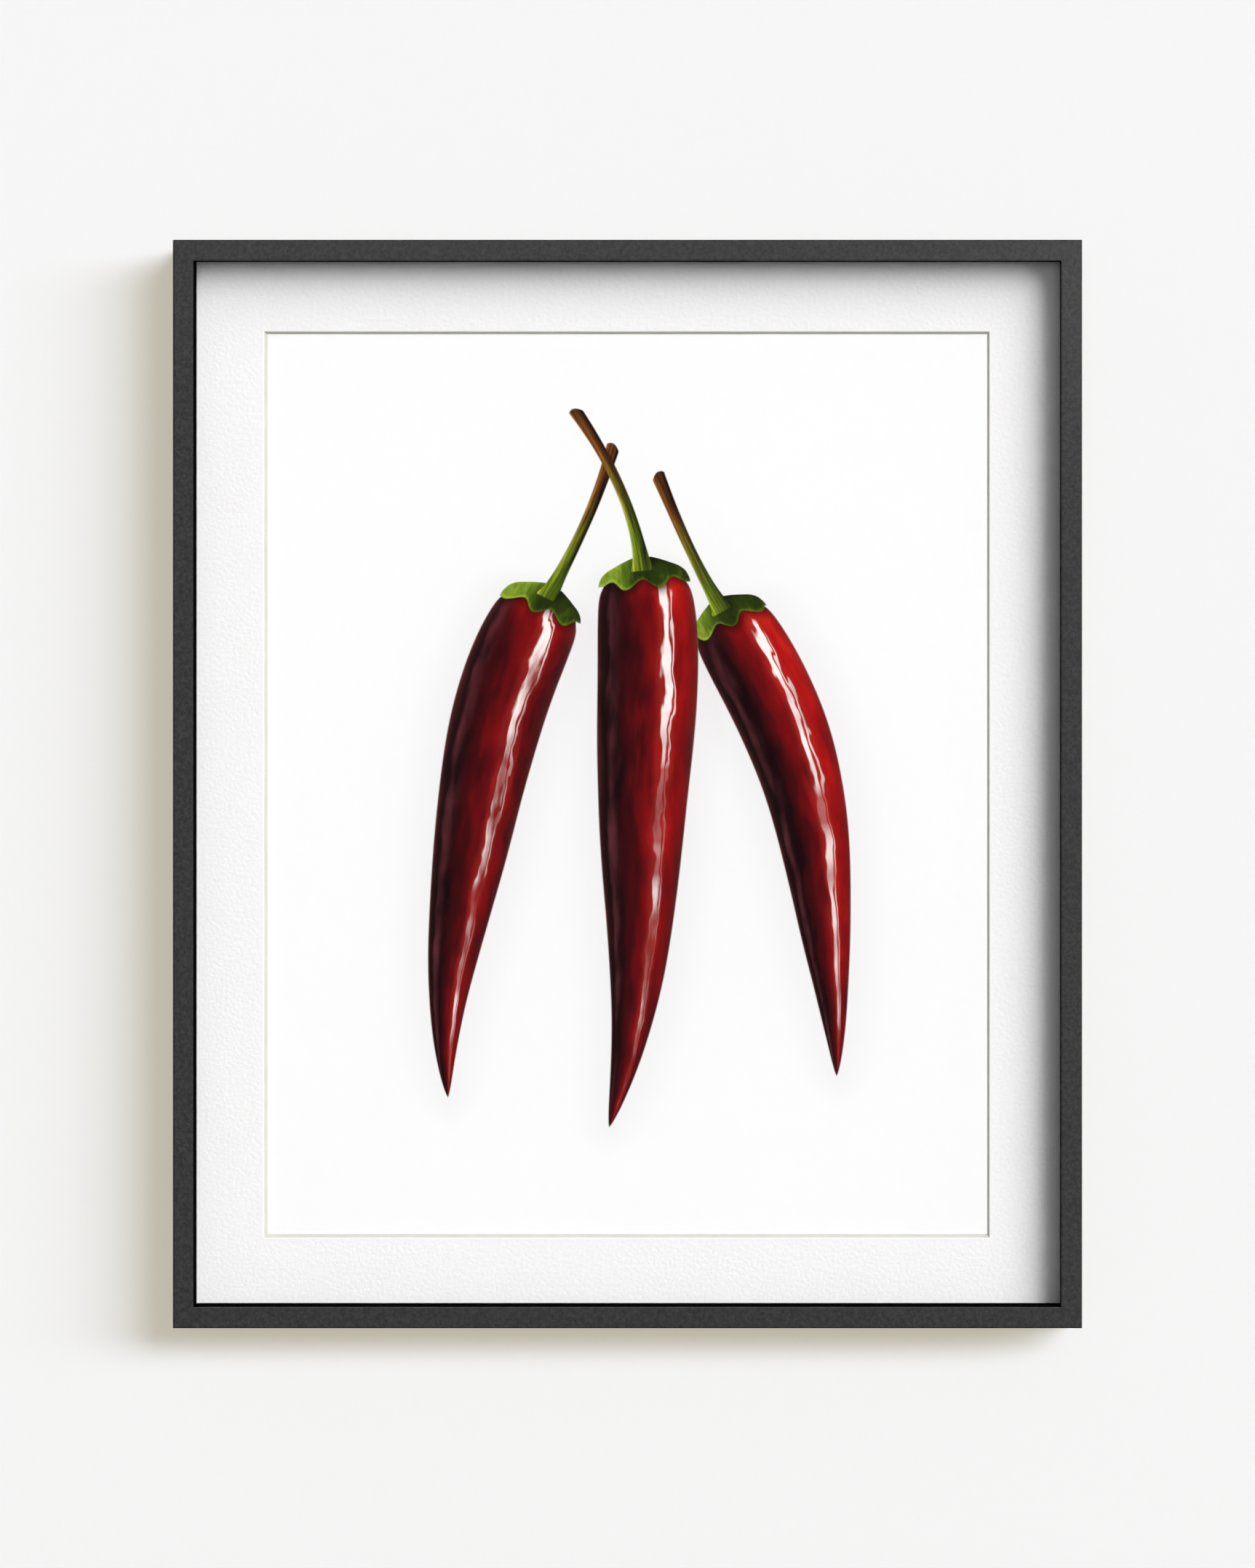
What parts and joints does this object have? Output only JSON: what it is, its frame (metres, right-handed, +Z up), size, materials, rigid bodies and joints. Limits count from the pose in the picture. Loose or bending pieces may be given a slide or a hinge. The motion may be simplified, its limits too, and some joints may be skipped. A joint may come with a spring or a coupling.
{
  "type": "framed wall print",
  "caption": "Upright picture frame with a slim charcoal face, deep sides, clear glazing, a wide bevelled white mat and a print, hung from a sawtooth hanger.",
  "frame": {"origin": "on the wall plane, at the middle notch of the hanger, where the nail carries the frame", "axes": "+X to the viewer's right, +Y into the wall, +Z up; the picture faces -Y"},
  "size_m": [0.511, 0.034, 0.612],
  "materials": {
    "rail": "mottled matte charcoal paint on a wood moulding",
    "glazing": "clear non-glare acrylic sheet",
    "spacer": "black plastic strip, matte",
    "mat": "white pebbled mat board with a cream core",
    "print": "smooth white rag paper, inkjet printed",
    "tape": "gummed linen tape",
    "panel": "bare medium density fibreboard",
    "steel": "zinc-plated steel",
    "pad": "black wool felt"
  },
  "bodies": {
    "root": {"rail_top": "rail", "rail_bottom": "rail", "rail_left": "rail", "rail_right": "rail", "glazing": "glazing", "spacer_top": "spacer", "spacer_bottom": "spacer", "spacer_left": "spacer", "spacer_right": "spacer", "window_mat": "mat", "print_sheet": "print", "hinge_tape_left": "tape", "hinge_tape_right": "tape", "mount_board": "mat", "back_panel": "panel", "point_top_1": "steel", "point_top_2": "steel", "point_top_3": "steel", "point_bottom_1": "steel", "point_bottom_2": "steel", "point_bottom_3": "steel", "point_left_1": "steel", "point_left_2": "steel", "point_left_3": "steel", "point_right_1": "steel", "point_right_2": "steel", "point_right_3": "steel", "v_nail_top_left": "steel", "v_nail_top_right": "steel", "v_nail_bottom_left": "steel", "v_nail_bottom_right": "steel", "hanger": "steel", "hanger_screw_left": "steel", "hanger_screw_right": "steel", "wall_pad_left": "pad", "wall_pad_right": "pad"}
  },
  "joints": []
}
